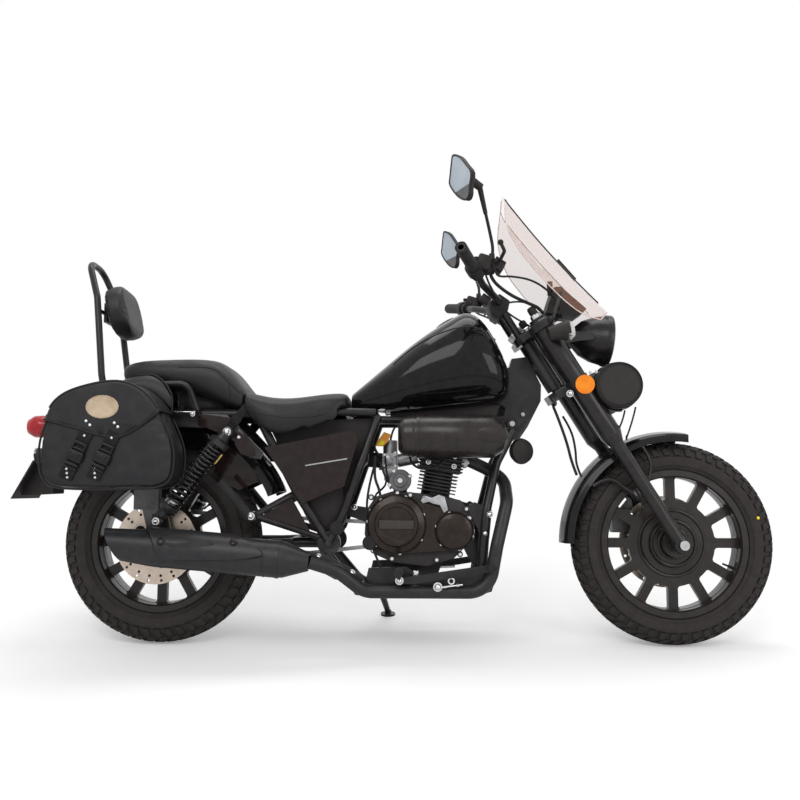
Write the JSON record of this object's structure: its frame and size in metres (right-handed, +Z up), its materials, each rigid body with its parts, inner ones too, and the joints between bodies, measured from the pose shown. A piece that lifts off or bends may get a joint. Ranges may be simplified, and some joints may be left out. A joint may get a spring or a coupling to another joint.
{
  "type": "cruiser motorcycle",
  "caption": "Single-cylinder cruiser motorcycle with windshield, saddlebags and backrest, parked leaning on its side stand; wheels, steering, stand and bag flaps move.",
  "frame": {"origin": "on the ground, at the middle of the leaning motorcycle's outer box", "axes": "+X forward, +Y to the rider's left, +Z up"},
  "size_m": [2.2815, 0.8554, 1.4102],
  "materials": {
    "black_steel": "satin black paint on steel tube",
    "gloss_paint": "gloss black paint",
    "fork_black": "gloss black enamel",
    "wheel_black": "black painted cast alloy",
    "engine_black": "black engine enamel on cast alloy",
    "engine_bronze": "dark bronze cast covers",
    "cast_alloy": "bare cast alloy",
    "bare_steel": "bare steel",
    "disc_steel": "ground steel disc",
    "shock_steel": "black springs, chrome rods",
    "exhaust_black": "matt heat-proof black",
    "black_plastic": "matt black plastic",
    "gloss_plastic": "gloss black plastic",
    "red_lens": "red lens plastic",
    "clear_plastic": "clear, faintly pink sheet",
    "grip_rubber": "ribbed rubber",
    "seat_leather": "smooth black seat cover",
    "bag_leather": "black leather with white-grey grain",
    "tyre": "black tyre rubber"
  },
  "bodies": {
    "chassis": {"frame": "black_steel", "subframe": "black_steel", "swingarm": "black_steel", "rear_axle": "bare_steel", "engine_crankcase": "engine_black", "engine_covers": "engine_bronze", "cylinder": "engine_black", "cylinder_head": "engine_black", "carburettor": "cast_alloy", "air_canister": "black_plastic", "exhaust": "exhaust_black", "fuel_tank": "gloss_paint", "rider_seat": "seat_leather", "pillion_seat": "seat_leather", "sissy_bar": "black_steel", "backrest_pad": "seat_leather", "side_covers": "gloss_plastic", "rear_fender": "gloss_paint", "rear_lamps": "red_lens", "plate_bracket": "black_plastic", "saddlebag_right": "bag_leather", "saddlebag_left": "bag_leather", "bag_yoke": "bag_leather", "shock_absorbers": "shock_steel", "foot_controls": "black_steel", "drive_chain": "bare_steel", "rear_caliper": "cast_alloy", "horn": "black_plastic"},
    "steering": {"yokes": "black_steel", "fork_legs": "fork_black", "front_axle": "bare_steel", "handlebar": "black_steel", "hand_controls": "grip_rubber", "mirrors": "black_plastic", "headlight": "black_steel", "front_brackets": "black_steel", "windshield": "clear_plastic", "instrument_pod": "black_plastic", "front_fender": "gloss_paint", "tool_bag": "bag_leather", "front_signals": "black_plastic", "front_caliper": "cast_alloy"},
    "front_wheel": {"front_tyre": "tyre", "front_rim": "wheel_black", "front_disc": "disc_steel"},
    "rear_wheel": {"rear_tyre": "tyre", "rear_rim": "wheel_black", "rear_disc": "disc_steel", "rear_sprocket": "disc_steel"},
    "side_stand": {"side_stand": "black_steel"},
    "flap_right": {"flap_right": "bag_leather"},
    "flap_left": {"flap_left": "bag_leather"}
  },
  "joints": [
    {"name": "steering_head", "type": "hinge", "parent": "chassis", "child": "steering", "pos_m": [0.45578, -0.06003, 0.83043], "axis": [-0.5225, 0.1407, 0.8409], "range_deg": [-35, 35]},
    {"name": "front_wheel_spin", "type": "hinge", "parent": "steering", "child": "front_wheel", "pos_m": [0.839, -0.14903, 0.2986], "axis": [0, 0.9863, -0.165], "continuous": true},
    {"name": "rear_wheel_spin", "type": "hinge", "parent": "chassis", "child": "rear_wheel", "pos_m": [-0.701, -0.14934, 0.29675], "axis": [0, 0.9863, -0.165], "continuous": true},
    {"name": "stand_hinge", "type": "hinge", "parent": "chassis", "child": "side_stand", "pos_m": [-0.051, -0.02334, 0.12877], "axis": [0, 0.7955, 0.606], "range_deg": [0, 92]},
    {"name": "flap_hinge_right", "type": "hinge", "parent": "chassis", "child": "flap_right", "pos_m": [-0.701, -0.26474, 0.77346], "axis": [-1, 0, 0], "range_deg": [0, 100]},
    {"name": "flap_hinge_left", "type": "hinge", "parent": "chassis", "child": "flap_left", "pos_m": [-0.701, 0.11498, 0.70991], "axis": [1, 0, 0], "range_deg": [0, 100]}
  ]
}
